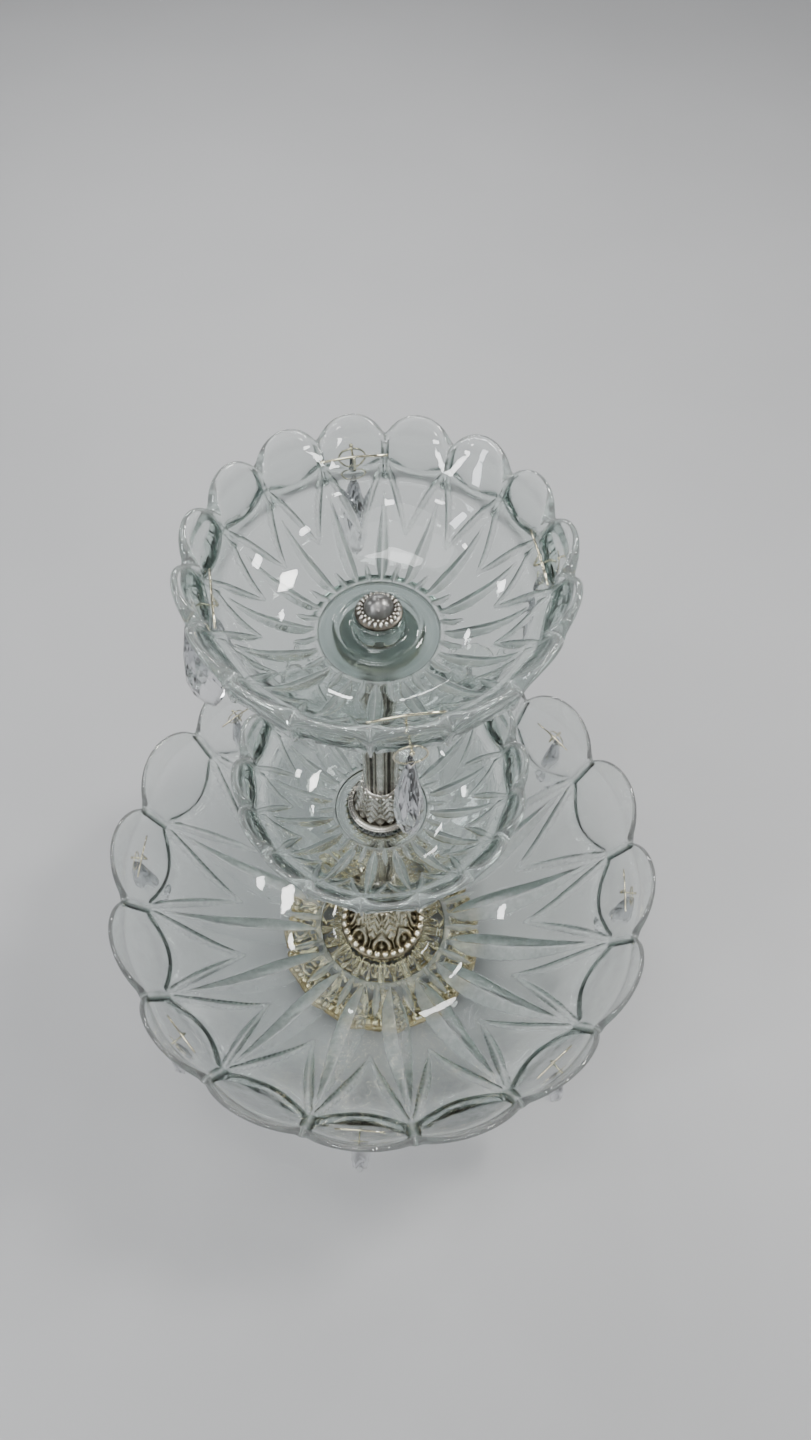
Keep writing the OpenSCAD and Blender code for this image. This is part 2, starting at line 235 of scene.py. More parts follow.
def noise(tree, scale, detail, roughness=0.5):
    """Noise over the object's own space, in metres: a scale of 100 has patches about 10 mm across."""
    coords = add_node(tree, "ShaderNodeTexCoord")
    made = add_node(tree, "ShaderNodeTexNoise",
                    {"Scale": scale, "Detail": detail, "Roughness": roughness})
    tree.links.new(coords.outputs["Object"], made.inputs["Vector"])
    return made.outputs["Fac"]


def map_range(tree, source, low, high, to_low, to_high):
    made = add_node(tree, "ShaderNodeMapRange",
                    {"From Min": low, "From Max": high, "To Min": to_low, "To Max": to_high})
    tree.links.new(source, made.inputs["Value"])
    return made.outputs["Result"]


def ramp(tree, source, stops):
    """A colour ramp, from pairs of place and colour."""
    made = add_node(tree, "ShaderNodeValToRGB")
    elements = made.color_ramp.elements
    while len(elements) < len(stops):
        elements.new(0.5)
    for element, (place, colour) in zip(elements, stops):
        element.position = place
        element.color = (*colour, 1)
    tree.links.new(source, made.inputs["Fac"])
    return made.outputs["Color"]


def feed(shader, socket, source):
    shader.id_data.links.new(source, shader.inputs[socket])


def bump(tree, shader, source, distance):
    made = add_node(tree, "ShaderNodeBump", {"Strength": 1.0, "Distance": distance})
    tree.links.new(source, made.inputs["Height"])
    feed(shader, "Normal", made.outputs["Normal"])


def math_node(tree, operation, a, b):
    """The output of a Math node on two values, each a float or another node's output."""
    made = add_node(tree, "ShaderNodeMath", operation=operation)
    for socket, value in zip(made.inputs, (a, b)):
        if isinstance(value, float):
            socket.default_value = value
        else:
            tree.links.new(value, socket)
    return made.outputs[0]


GROUND_COLOUR = (0.43, 0.52, 0.51)


def glass(name, colour, ior, roughness, waviness, tint, density, milk=0.0):
    """Glass with a tint that deepens with its thickness. Pressed glass has milk: its frost attribute
    marks the cut faces, which are a little milky, and its ground attribute marks a rough face."""
    material, tree, shader = new_material(name)
    shader.inputs["IOR"].default_value = ior
    shader.inputs["Base Color"].default_value = (*colour, 1)
    shader.inputs["Transmission Weight"].default_value = 1
    rough = map_range(tree, noise(tree, 90, 6), 0.35, 0.8, *roughness)
    if milk:
        frost = add_node(tree, "ShaderNodeAttribute", attribute_name="frost").outputs["Fac"]
        ground = add_node(tree, "ShaderNodeAttribute", attribute_name="ground").outputs["Fac"]
        feed(shader, "Base Color", ramp(tree, ground, [(0.0, colour), (1.0, GROUND_COLOUR)]))
        patches = map_range(tree, noise(tree, 260, 5, 0.6), 0.3, 0.7, 0.8, 1.15)
        clouding = math_node(tree, "MULTIPLY", math_node(tree, "MULTIPLY", frost, milk), patches)
        feed(shader, "Transmission Weight", math_node(tree, "SUBTRACT", 1.0, clouding))
        rough = math_node(tree, "ADD", rough, math_node(tree, "MULTIPLY", ground, 0.3))
    feed(shader, "Roughness", rough)
    bump(tree, shader, noise(tree, 70, 2), waviness)
    body = add_node(tree, "ShaderNodeVolumeAbsorption", {"Color": (*tint, 1), "Density": density})
    tree.links.new(body.outputs[0], tree.nodes["Material Output"].inputs["Volume"])
    return material


def antique_metal(name, recess, body, bright, roughness):
    """Cast and plated metal: dark where the relief is deep, bright where it is rubbed. The relief value
    also brings the painted highlights and painted shade of rods and balls.
    """
    material, tree, shader = new_material(name)
    relief = add_node(tree, "ShaderNodeAttribute", attribute_name="relief").outputs["Fac"]
    tarnish = map_range(tree, noise(tree, 160, 6, 0.65), 0.3, 0.7, -0.22, 0.22)
    level = map_range(tree, math_node(tree, "ADD", relief, tarnish), -0.6, 0.8, 0, 1)
    feed(shader, "Base Color", ramp(tree, level, [(0.12, recess), (0.5, body), (0.85, bright)]))
    shader.inputs["Metallic"].default_value = 1
    feed(shader, "Roughness", map_range(tree, level, 0.1, 0.9, roughness[1], roughness[0]))
    bump(tree, shader, noise(tree, 900, 5), 0.00006)
    return material


def plain_metal(name, colour, dark, roughness):
    """Smooth metal with slightly darker patches and a faint grain."""
    material, tree, shader = new_material(name)
    feed(shader, "Base Color", ramp(tree, noise(tree, 300, 5), [(0.3, dark), (0.65, colour)]))
    shader.inputs["Metallic"].default_value = 1
    feed(shader, "Roughness", map_range(tree, noise(tree, 600, 4), 0.3, 0.7, *roughness))
    bump(tree, shader, noise(tree, 1200, 3), 0.00002)
    return material


def soft_plastic(name):
    """Cloudy plastic that lets some light through."""
    material, tree, shader = new_material(name)
    cloud = [(0.3, (0.55, 0.56, 0.52)), (0.7, (0.72, 0.73, 0.7))]
    feed(shader, "Base Color", ramp(tree, noise(tree, 400, 3), cloud))
    shader.inputs["Transmission Weight"].default_value = 0.35
    feed(shader, "Roughness", map_range(tree, noise(tree, 700, 3), 0.3, 0.7, 0.35, 0.5))
    bump(tree, shader, noise(tree, 1500, 3), 0.00003)
    return material


CLEAR = glass("clear_glass", (0.97, 0.985, 0.98), ior=1.52, roughness=(0.0, 0.03), waviness=0.0002,
              tint=(0.7, 0.785, 0.755), density=62, milk=0.5)
CRYSTAL = glass("crystal", (0.99, 0.99, 1), ior=1.6, roughness=(0.0, 0.01), waviness=0.00001,
                tint=(0.8, 0.815, 0.83), density=45)
SILVER = antique_metal("antique_silver", (0.035, 0.028, 0.02), (0.36, 0.33, 0.28), (0.82, 0.8, 0.75),
                       (0.16, 0.42))
OLIVE = antique_metal("antique_olive_silver", (0.04, 0.032, 0.018), (0.33, 0.29, 0.2),
                      (0.86, 0.81, 0.66), (0.18, 0.45))
GILT = antique_metal("gilt_casting", (0.06, 0.045, 0.02), (0.45, 0.36, 0.19), (0.88, 0.8, 0.55),
                     (0.2, 0.45))
MIRROR = plain_metal("polished_dome", (0.27, 0.27, 0.265), (0.2, 0.19, 0.18), (0.3, 0.4))
STEEL = plain_metal("plated_steel", (0.6, 0.6, 0.58), (0.42, 0.41, 0.39), (0.25, 0.4))
WIRE = plain_metal("hanger_wire", (0.85, 0.8, 0.62), (0.6, 0.55, 0.4), (0.12, 0.25))
PLASTIC = soft_plastic("soft_washer")


# ---- glass bowls

PETALS = 16
STEP = TAU / PETALS
HALF_STEP = STEP / 2
PETAL_LEAN = math.tan(math.radians(13))
RIM_T = 3.3
BORE_R, BORE_EDGE = 4.0, 0.5
SPLIT = 0.84


class Bowl:
    """Shape of a pressed bowl. Heights, z, are from the plane of the notches between its petals. u runs
    from -1 to 1 across a petal, and s is the share of the way up the wall, from the hub to the notches.

    hub, notch: radius of the flat hub, and outer radius at the notches.
    depth, curve: depth of the inside under the notches, and how its wall curves up.
    wall, hub_t, petal_h: thickness of the wall and of the hub, and height of a petal.
    turn: angle of the pattern about the stem, in degrees.
    band, inset: how far the thick band under the petals stands outwards and inwards.
    boss: radius and height of the boss in the middle of the floor.
    scale, steep: size of the cuts, and how steeply their sides go in.
    foot: how far the middle of a petal's oval reaches under the notches, in petal heights.
    lancet, reach: width of the leaves, and how far up the wall they run.
    ground: 1 where the underside of the hub is ground rough, 0 where it is clear and ribbed."""

    def __init__(self, node, hub, notch, depth, curve, wall, hub_t, petal_h, turn, band, inset=0.0,
                 boss=None, scale=1.0, steep=1.0, foot=1.3, lancet=1.0, reach=0.87, ground=0.0):
        self.node, self.hub, self.notch, self.depth, self.curve = node, hub, notch, depth, curve
        self.wall, self.hub_t, self.petal_h, self.boss, self.scale = wall, hub_t, petal_h, boss, scale
        self.ground, self.steep, self.foot, self.band = ground, steep, foot, band
        self.inset, self.lancet, self.reach = inset, lancet, reach
        self.turn = math.radians(turn)
        self.notch_z = bottom(node) + hub_t + depth
        slope = math.atan(depth * curve / (notch - hub))
        self.rim = notch - wall * math.sin(slope)

    def height(self, s):
        return self.depth * (s ** self.curve - 1)

    def share(self, z):
        return np.clip(1 + z / self.depth, 0, None) ** (1 / self.curve)

    def petal_top(self, u):
        """Height of a petal's edge, an arc over the chord between two notches."""
        half = self.notch * math.sin(HALF_STEP)
        arc = (half ** 2 + self.petal_h ** 2) / (2 * self.petal_h)
        return np.maximum(self.petal_h / 20, np.sqrt(arc ** 2 - (u * half) ** 2) + self.petal_h - arc)

    def petal_foot(self, u):
        """Height of the arc under a petal, which closes its oval some way below the notches."""
        return -self.petal_h * (0.7 + (self.foot - 0.7) * (1 - u ** 2))

    def swelling(self, z):
        """How far the thick band under the petals stands inwards."""
        share = z / self.petal_h
        return self.inset * smoothstep(-1.9, -0.7, share) * (1 - smoothstep(0.0, 0.9, share))

    def shoulder(self, z, u):
        """How far the band stands outwards: a panel under each petal, and a joint at each notch."""
        share = z / self.petal_h
        along = np.clip(-share / 0.8, 0, 1) * smoothstep(-1.5, -0.95, share)
        panel = smoothstep(0.98, 0.86, np.abs(u)) * (0.45 + 0.2 * u ** 2)
        joint = smoothstep(0.9, 0.97, np.abs(u))
        return self.band * along * (panel + joint)

    def ridge(self, z, u):
        """A rounded ridge along the arc under each petal, and a short one down each notch."""
        arc = np.exp(-((z - self.petal_foot(u)) / (0.1 * self.petal_h)) ** 2)
        stem = np.exp(-((1 - np.abs(u)) / 0.08) ** 2) * smoothstep(-0.85, -0.65, z / self.petal_h)
        return np.maximum(arc, stem) * (1 - smoothstep(0.0, 0.3, z / self.petal_h))

    def inner_radius(self, z, u):
        crease = 0.1 * self.petal_h * (1 - u ** 2)
        wall = self.hub + (self.rim - self.hub) * self.share(np.minimum(z, crease))
        spoon = smoothstep(-0.9, 0.35, z / self.petal_h) * (1 - u ** 2)
        lean = np.maximum(z - crease, 0) * PETAL_LEAN
        return wall + lean + 0.095 * self.petal_h * spoon - self.swelling(z)

    def slope(self, z):
        """Steepness of the wall, which the petals bring upright."""
        s = np.clip(self.share(np.minimum(z, 0)), 1e-3, 1)
        wall = np.arctan(self.depth * self.curve * s ** (self.curve - 1) / (self.rim - self.hub))
        return wall + (math.pi / 2 - wall) * smoothstep(-0.1, 0.35, z / self.petal_h)

    def thickness(self, z, u):
        """Thickness of the glass, which is greatest where the leaves go deep into it."""
        s = self.share(np.minimum(z, 0))
        base = self.wall + (RIM_T - self.wall) * np.clip(z / self.petal_h, 0, 1)
        thick = 0.62 * self.wall * smoothstep(0, 0.12, s) * (1 - smoothstep(0.5, 0.82, s))
        spoon = 0.035 * self.petal_h * smoothstep(-0.5, 0.3, z / self.petal_h) * (1 - u ** 2)
        raised = self.shoulder(z, u) + self.swelling(z) + 0.08 * self.petal_h * self.ridge(z, u)
        cut = np.maximum(self.pattern(z, u)[0], self.thumbprint(z, u))
        return base + thick + raised - cut - spoon

    def leaf_cut(self, s, from_notch):
        """Depth of the leaf that runs down from each notch, with a narrow flat along its middle."""
        t = np.clip((s - 0.03) / self.reach, 0, 1)
        half = 8.6 * self.scale * self.lancet * np.sin(math.pi * t ** 0.62) ** 1.1
        x = np.clip(from_notch / np.maximum(half, 1e-6), 0, 1)
        return self.steep * half * (0.1 * np.sqrt(1 - x ** 2) + 0.48 * (1 - x))

    def chevron_cut(self, s, r, from_petal):
        """Depth of the pair of grooves that spread from under the middle of a petal to its notches."""
        start, length = 0.455, 0.475
        t = np.clip((s - start) / length, 0, 1)
        centre = r * HALF_STEP * t
        taper = np.sin(math.pi * np.clip(0.03 + 0.97 * t, 0, 1)) ** 0.5 * (0.55 + 0.45 * t)
        groove = np.maximum(3.9 * self.scale * taper - np.abs(from_petal - centre), 0)
        return self.steep * 0.8 * groove * (s > start) * (s < start + length)

    def oval_cut(self, s, from_petal):
        """Depth of the short oval between two leaves, beside the hub."""
        t = np.clip((s + 0.02) / 0.24, 0, 1)
        half = 2.7 * self.scale * np.sin(math.pi * t) ** 0.8
        return self.steep * 0.7 * np.maximum(half - from_petal, 0)

    def pattern(self, z, u):
        """Depth of the leaves, chevrons and ovals on the wall, and where a leaf is the deepest."""
        s = self.share(np.minimum(z, 0))
        r = self.hub + (self.rim - self.hub) * s
        from_notch = r * HALF_STEP * (1 - np.abs(u))
        from_petal = r * HALF_STEP * np.abs(u)
        leaves = self.leaf_cut(s, from_notch)
        chevrons, ovals = self.chevron_cut(s, r, from_petal), self.oval_cut(s, from_petal)
        deepest = np.maximum.reduce([leaves, chevrons, ovals])
        return deepest, deepest == leaves

    def thumbprint(self, z, u):
        """Depth of the hollow in a petal's oval."""
        low = self.petal_foot(u)
        high = self.petal_top(u) - 0.11 * self.petal_h
        middle, half = (low + high) / 2, np.maximum((high - low) / 2, 0.1)
        q = np.clip(np.abs(z - middle) / half, 0, 1)
        return 0.46 * self.wall * (1 - q ** 2) * np.clip(1 - u ** 2, 0, 1) ** 0.6

    def frost(self, z, u):
        """How milky the outside is. The cuts are milkiest. One side of each leaf is less milky than the
        other, so the milkier side is a painted highlight on that facet. The edge of the hub, the ridges and
        a crescent under each petal are a little milky."""
        pressed, leaves = self.pattern(z, u)
        # the sign of u makes one side of each leaf milkier: a painted highlight on that facet
        cuts = smoothstep(0.05, 0.4, pressed / self.scale) * (0.74 + 0.26 * np.sign(u) * leaves)
        low = self.petal_foot(u)
        crescent = smoothstep(low - 0.34 * self.petal_h * (1 - u ** 2), low, z) * (z < low)
        ridges = self.ridge(z, u) * (0.35 + 0.5 * smoothstep(0.86, 0.95, np.abs(u)))
        petals = 0.12 * smoothstep(-0.2, 0.2, z / self.petal_h)
        at_hub = 0.6 * (1 - smoothstep(0.02, 0.08, self.share(np.minimum(z, 0))))
        crescent = 0.5 * crescent * (1 - np.abs(u)) ** 0.3
        return np.maximum.reduce([cuts, petals, ridges, crescent, at_hub])

    def edge_frost(self, z, u):
        """How milky both sides of the glass are along the petals' edge."""
        from_edge = z + 1.6 * RIM_T - self.petal_top(u)
        return 0.3 * smoothstep(0.2 * RIM_T, 1.6 * RIM_T, from_edge)

    def floor_profile(self):
        """Radius and height of the floor, from the bore to the wall. Small bowls have a boss and a bead."""
        floor, under = -self.depth, -self.depth - self.hub_t
        profile = [(BORE_R, under + BORE_EDGE), (BORE_R, under + self.hub_t / 2)]
        if self.boss:
            boss_r, boss_h = self.boss
            crown, bead, rise = floor + boss_h, boss_r + 0.5 * (self.hub - boss_r), 0.65
            profile += [(BORE_R, crown - BORE_EDGE), (BORE_R + BORE_EDGE, crown), (boss_r - 1.6, crown),
                        (boss_r - 0.6, crown - 0.3), (boss_r - 0.1, crown - 1),
                        (boss_r, floor + 0.45 * boss_h), (boss_r + 0.1, floor + 1.2),
                        (boss_r + 0.5, floor + 0.4), (boss_r + 1.3, floor), (bead - 1.6, floor),
                        (bead - 1.2, floor + 0.25), (bead - 0.7, floor + 0.95), (bead, floor + 1.25),
                        (bead + 0.7, floor + 0.95), (bead + 1.2, floor + 0.7),
                        (bead + 1.6, floor + rise)]
        else:
            rise = 0.5
            profile += [(BORE_R, floor - BORE_EDGE), (BORE_R + BORE_EDGE, floor), (self.hub - 9, floor),
                        (self.hub - 8.4, floor + 0.2), (self.hub - 8, floor + rise)]
        return profile + [(self.hub - 1.2, floor + rise), (self.hub - 0.4, floor + rise - 0.1)]

    def outline(self, u, wall_rows, petal_rows, cut_rows):
        """Radius, height, frost and ground of the glass's closed outline at each column. It runs up the
        inside from the bore, over the petals' edge, down the outside and under the hub."""

        def level(pairs, frost=0.0, ground=0.0):
            """Rows that are the same at every column, from pairs of radius and height."""
            return [tuple(np.full(len(u), value) for value in (r, z, frost, ground)) for r, z in pairs]

        def wall_at(s):
            return np.full(len(u), self.height(s))

        def inside(z):
            return self.inner_radius(z, u), z, self.edge_frost(z, u), 0 * u

        def outside(z):
            a, t = self.slope(z), self.thickness(z, u)
            frost = np.maximum(self.frost(z, u), self.edge_frost(z, u))
            return self.inner_radius(z, u) + t * np.sin(a), z - t * np.cos(a), frost, 0 * u

        rows = level(self.floor_profile())
        rows += [inside(wall_at(s)) for s in np.linspace(0.12, SPLIT, wall_rows)]
        split, crest = self.height(SPLIT), self.petal_top(u) - RIM_T / 2
        for q in np.linspace(0, 1, petal_rows // 2 + 1)[1:]:
            rows.append(inside(split + (crest - split) * q ** 0.8))
        r_in, half = self.inner_radius(crest, u), self.thickness(crest, u) / 2
        for a in np.linspace(math.pi, 0, 9)[1:-1]:
            rows.append((r_in + half + half * math.cos(a), crest + RIM_T / 2 * math.sin(a), 0 * u + 0.3,
                         0 * u))
        for q in np.linspace(1, 0, petal_rows + 1)[:-1]:
            rows.append(outside(split + (crest - split) * q))
        rows += [outside(wall_at(s)) for s in np.linspace(SPLIT, 0, cut_rows)]

        hub, under = self.hub, -self.depth - self.hub_t
        side_frost, flat_frost = 0.7 * self.ground, 0.45 * self.ground
        rows.append((0 * u + hub, rows[-1][1] - 0.3, 0 * u + side_frost, 0 * u))
        rows += level([(hub, under + 0.7), (hub - 0.2, under + 0.2)], side_frost)
        rows += level([(hub - 0.7, under), (hub - 2.5, under), (hub - 3, under + 0.2),
                       (hub - 3.4, under + 0.3)], flat_frost, self.ground)
        if not self.ground:
            ribs = 0.9 * np.abs(np.cos(math.pi * u)) ** 0.7
            for q in np.linspace(0, 1, 12):
                r = hub - 4 - (hub - 4 - 0.62 * hub) * q
                rows.append((0 * u + r, under + 0.3 + ribs * math.sin(math.pi * q) ** 0.6, 0 * u, 0 * u))
        rows += level([(BORE_R + 3, under + 0.3)], flat_frost, self.ground)
        rows += level([(BORE_R + BORE_EDGE, under)])
        return (np.array(part) for part in zip(*rows))

    def build(self, name, body, columns, wall_rows, petal_rows, cut_rows):
        """Makes the glass. Each petal has a number of columns, closer together near the notches."""
        even = (np.arange(columns) + 0.5) / columns * 2 - 1
        u = 1.16 * even - 0.16 * even ** 3
        sector = np.arange(PETALS)[:, None] + 0.5
        angle = ((sector + u[None, :] / 2) * STEP).ravel() + self.turn
        r, z, frost, ground = self.outline(np.tile(u, PETALS), wall_rows, petal_rows, cut_rows)
        points = np.stack([r * np.cos(angle), r * np.sin(angle), z + self.notch_z], -1).reshape(-1, 3)
        faces = outward(points, grid_faces(len(r), len(angle)))
        obj = add_object(name, points, faces, body, [CLEAR], [self.node])
        set_attribute(obj, "frost", frost)
        set_attribute(obj, "ground", ground)


SMALL = dict(hub=23, notch=67.8, depth=32.5, curve=2.2, wall=3.6, hub_t=6, petal_h=8.8, band=4.4,
             inset=2.6, boss=(9.8, 8), scale=0.46, steep=1.75, foot=1.02, lancet=0.6, reach=0.76)
LARGE = Bowl("large_bowl", hub=40, notch=147.5, depth=84, curve=1.95, wall=4.2, hub_t=7, petal_h=20,
             turn=8.7, band=1.6)
MIDDLE = Bowl("middle_bowl", turn=17, **SMALL)
TOP = Bowl("top_bowl", turn=0, ground=1.0, **SMALL)

LARGE.build("large_bowl_glass", "large_tier", columns=36, wall_rows=12, petal_rows=32, cut_rows=72)
MIDDLE.build("middle_bowl_glass", "middle_tier", columns=30, wall_rows=10, petal_rows=26, cut_rows=64)
TOP.build("top_bowl_glass", "top_tier", columns=30, wall_rows=10, petal_rows=26, cut_rows=64)

# ---- stem

ROD_HOLE_R = 3.05


def bell(low, high, t):
    """Radius of a bell that narrows upwards, at a share t of its height."""
    return high + (low - high) * (1 - t) ** 1.8


def phase(angle, count, shift=0.0):
    """Place within each of count equal sectors, from -1 to 1."""
    return 2 * ((angle / TAU * count + shift) % 1) - 1


def dome(x):
    return np.sqrt(np.clip(1 - x ** 2, 0, 1))


def leaf(across, along, veins):
    """Height of an acanthus leaf, from its stalk at along 0 to its tip at along 1."""
    width = 0.88 * np.sin(math.pi * np.clip(0.16 + 0.84 * along, 0, 1)) ** 0.62 + 1e-3
    width = width * (1 + 0.1 * np.sin(TAU * veins * along))
    inside = np.clip(1 - (across / width) ** 2, 0, 1)
    rib = 0.45 * np.exp(-(across / 0.1) ** 2)
    vein = 0.28 * np.sin(TAU * (veins * along - 1.3 * np.abs(across)))
    return np.where(inside > 0, inside ** 0.4 * (0.75 + vein + rib * (1 - along)), 0)


def make_column(node):
    """Six broad reeds with two narrow reeds between each pair. The lines of tiny beads lie inside the
    broad reeds, where they don't show."""
    z0, z1 = bottom(node), top(node)
    core, units, sunk, bead_gap = 8.3, 6, 0.45, 1.25

    def relief(angle, r, z):
        degrees = phase(angle, units) * 30
        broad = 0.95 * dome(degrees / 14.5) - sunk
        narrow = 0.62 * dome((np.abs(degrees) - 20) / 4.6) - sunk
        return np.where(r > core - 1, np.maximum(np.maximum(broad, narrow), -sunk), 0)

    shape = Solid()
    shape.turned([(5.2, z0), (core, z0), (core, z1), (5.2, z1)], 360, relief, spacing=9)
    count = int((z1 - z0) / bead_gap)
    for k in range(units):
        a = (k + 1.5) * TAU / units
        for i in range(count):
            shape.ball(polar(core - 0.42, a, z0 + (i + 0.5) * (z1 - z0) / count), 0.45, polar(1, a, 0),
                       sides=6, rings=4)
    for z in (z0 + 0.9, z1 - 0.9):
        ring = [polar(core + 0.1, i * TAU / 96, z) for i in range(96)]
        shape.sweep(ring, 0.9, 8, closed=True, shade=0.3)
    shape.build(node + "_fluted", "stem", "antique_silver", [SILVER], [node])


def bell_outline(z0, height, foot_r, crown_r):
    """Outline of a hollow bell, with a thin wall and a solid crown round the rod."""
    wall, crown = 1.8, height * 0.8
    steps = np.linspace(0, 1, 40)
    outside = [(bell(foot_r, crown_r, t), z0 + height * t) for t in steps]
    inside = [(bell(foot_r, crown_r, t * 0.8) - wall, z0 + crown * t) for t in steps[::-1]]
    return outside + [(ROD_HOLE_R, z0 + height), (ROD_HOLE_R, z0 + crown)] + inside


def add_bead_row(shape, count, r, z, size):
    """A row of beads round the stem that face outwards."""
    for k in range(count):
        a = k * TAU / count
        shape.ball(polar(r, a, z), size, polar(1, a, 0), sides=10)


def on_bell(r, t, foot_r, crown_r):
    """Where a bell's outside is, clear of its foot and its crown."""
    return (r > bell(foot_r, crown_r, np.clip(t, 0, 1)) - 0.4) & (t > 0.09) & (t < 0.985)


def make_lower_collar():
    """A bell with acanthus leaves over scrolled arches, on a plain flange with a ring of pearls."""
    node, pearls = "lower_collar", 30
    z0, height = bottom(node), top(node) - bottom(node)
    foot_r, crown_r = 24.4, 9.6

    def relief(angle, r, z):
        t = (z - z0) / height
        front = leaf(phase(angle, 8), np.clip((0.97 - t) / 0.72, 0, 1), 4)
        behind = leaf(phase(angle, 8, 0.5), np.clip((0.75 - t) / 0.5, 0, 1), 3)
        arch = np.sqrt((phase(angle, 8, 0.5) / 0.62) ** 2 + ((t - 0.16) / 0.15) ** 2)
        scroll = 0.9 * np.exp(-((arch - 1) / 0.24) ** 2) + 0.8 * np.exp(-(arch / 0.3) ** 2)
        raised = np.maximum.reduce([1.5 * front, 1.05 * behind, 1.3 * scroll * (t > 0.1)])
        return np.where(on_bell(r, t, foot_r, crown_r), raised - 0.55, 0)

    shape = Solid()
    shape.turned(bell_outline(z0, height, foot_r, crown_r), 320, relief, spacing=0.6)
    flange = [(foot_r - 2, z0), (25.8, z0), (26.6, z0 + 0.4), (27, z0 + 1.2), (26.6, z0 + 2),
              (25.8, z0 + 2.4), (foot_r - 2, z0 + 2.4)]
    shape.turned(flange, 160, spacing=3, shade=-0.15)
    for k in range(pearls):
        a = k * TAU / pearls
        shape.ball(polar(24.5, a, z0 + 4.4), 2.25, polar(0.75, a, 0.66), sides=16, rings=11, shade=1.0)
    add_bead_row(shape, 20, crown_r - 0.2, z0 + height - 1.2, 1.15)
    shape.build("lower_collar_cast", "stem", "antique_silver", [OLIVE], [node])


def make_upper_collar():
    """A bell with acanthus leaves, on a stepped flange."""
    node = "upper_collar"
    z0, height = bottom(node), top(node) - bottom(node)
    foot_r, crown_r = 15.0, 9.4

    def relief(angle, r, z):
        t = (z - z0) / height
        front = leaf(phase(angle, 8), np.clip((0.98 - t) / 0.86, 0, 1), 5)
        behind = leaf(phase(angle, 8, 0.5), np.clip((0.8 - t) / 0.68, 0, 1), 4)
        raised = np.maximum(1.15 * front, 0.75 * behind)
        return np.where(on_bell(r, t, foot_r, crown_r), raised - 0.45, 0)

    shape = Solid()
    shape.turned(bell_outline(z0, height, foot_r, crown_r), 280, relief, spacing=0.5)
    flange = [(foot_r - 2, z0), (16.1, z0), (16.65, z0 + 0.25), (16.8, z0 + 0.8), (16.5, z0 + 1.35),
              (15.9, z0 + 1.5), (15.6, z0 + 1.35), (15.3, z0 + 1.7), (14.9, z0 + 1.9),
              (foot_r - 2, z0 + 1.9)]
    shape.turned(flange, 140, spacing=3, shade=0.3)
    add_bead_row(shape, 18, crown_r - 0.2, z0 + height - 1, 1.0)
    shape.build("upper_collar_cast", "stem", "antique_silver", [SILVER], [node])


def make_seat(node):
    """A lobed cup that widens upwards to a plain lip."""
    z0, height = bottom(node), top(node) - bottom(node)
    lip_r, neck_r, lobed = 16, 9.0, 0.82
    steps = np.linspace(0, 1, 24)
    outline = [(ROD_HOLE_R, z0)]
    outline += [(bell(lip_r, neck_r, 1 - t), z0 + (height - 1.8) * t) for t in steps]
    outline += [(16.6, z0 + height - 1.7), (17, z0 + height - 0.9), (16.6, z0 + height - 0.1),
                (15.8, z0 + height), (ROD_HOLE_R, z0 + height)]

    def relief(angle, r, z):
        t = (z - z0) / height
        lobes = dome(phase(angle, 20)) * np.sin(math.pi * np.clip(t / lobed, 0, 1)) ** 0.5
        cup_r = bell(lip_r, neck_r, np.clip(1 - t / lobed, 0, 1))
        on_cup = (r > cup_r - 0.4) & (t > 0.02) & (t < 0.81)
        return np.where(on_cup, lobes - 0.5, 0)

    shape = Solid()
    shape.turned(outline, 280, relief, spacing=0.5, shade=0.1)
    shape.build(node + "_cast", "stem", "antique_silver", [OLIVE], [node])


def make_knob():
    """A polished dome in a rim of beads, one row large and one row small."""
    node, beads = "top_knob", 22
    z0, z1 = bottom(node), top(node)
    shape = Solid()
    rim = [(ROD_HOLE_R, z0), (8.3, z0), (8.75, z0 + 0.25), (8.9, z0 + 0.75), (8.75, z0 + 1.25),
           (8.3, z0 + 1.5), (6.9, z0 + 2.0), (6.6, z0 + 3.0), (ROD_HOLE_R, z0 + 3.0)]
    shape.turned(rim, 120, spacing=1, shade=-0.3)
    for k in range(beads):
        a = k * TAU / beads
        shape.ball(polar(7.35, a, z0 + 2.35), 0.74, polar(0.75, a, -0.66), 1.5, sides=12, rings=9,
                   shade=0.9)
        shape.ball(polar(6.15, a + math.pi / beads, z0 + 3.35), 0.5, polar(1, a, 0), sides=8, shade=0.6)
    dome_r, axis_r = 5.6, 0.02
    centre = z1 - dome_r
    turn = np.linspace(0, math.pi / 2, 16)[:-1]
    arc = [(dome_r * math.cos(t), centre + dome_r * math.sin(t)) for t in turn]
    shape.turned([(axis_r, centre)] + arc + [(axis_r, z1)], 96, spacing=2, slot=1)
    shape.build("top_knob_beaded", "knob", "antique_silver", [SILVER, MIRROR], [node])


def make_rod():
    """The rod, with its thread cut where the nut and the knob screw on."""
    node = "center_rod"
    z0, z1 = bottom(node), top(node)
    pitch, depth, r, columns = 1.0, 0.32, 3.0, 28
    lower = np.arange(z0, z0 + 16, 0.25)
    upper = np.arange(z1 - 10, z1 + 0.01, 0.25)
    z = np.concatenate([lower, np.linspace(z0 + 17, z1 - 11, 8), upper])[:, None]
    angle = np.arange(columns)[None, :] * TAU / columns
    turn = (z / pitch - angle / TAU) % 1
    cut = np.where((z < z0 + 16) | (z > z1 - 10.1), depth * (1 - np.abs(2 * turn - 1)), 0)
    chamfer = np.clip(np.minimum(z - z0, z1 - z), 0, 0.5) - 0.5
    radius = r - cut + chamfer
    points = np.stack([radius * np.cos(angle), radius * np.sin(angle), z + 0 * angle], -1).reshape(-1, 3)
    shape = Solid()
    shape.add(points, capped_faces(points, len(z), columns), 0)
    shape.build("center_rod_threaded", "stem", "plated_steel", [STEEL], [node])


# ---- pierced base

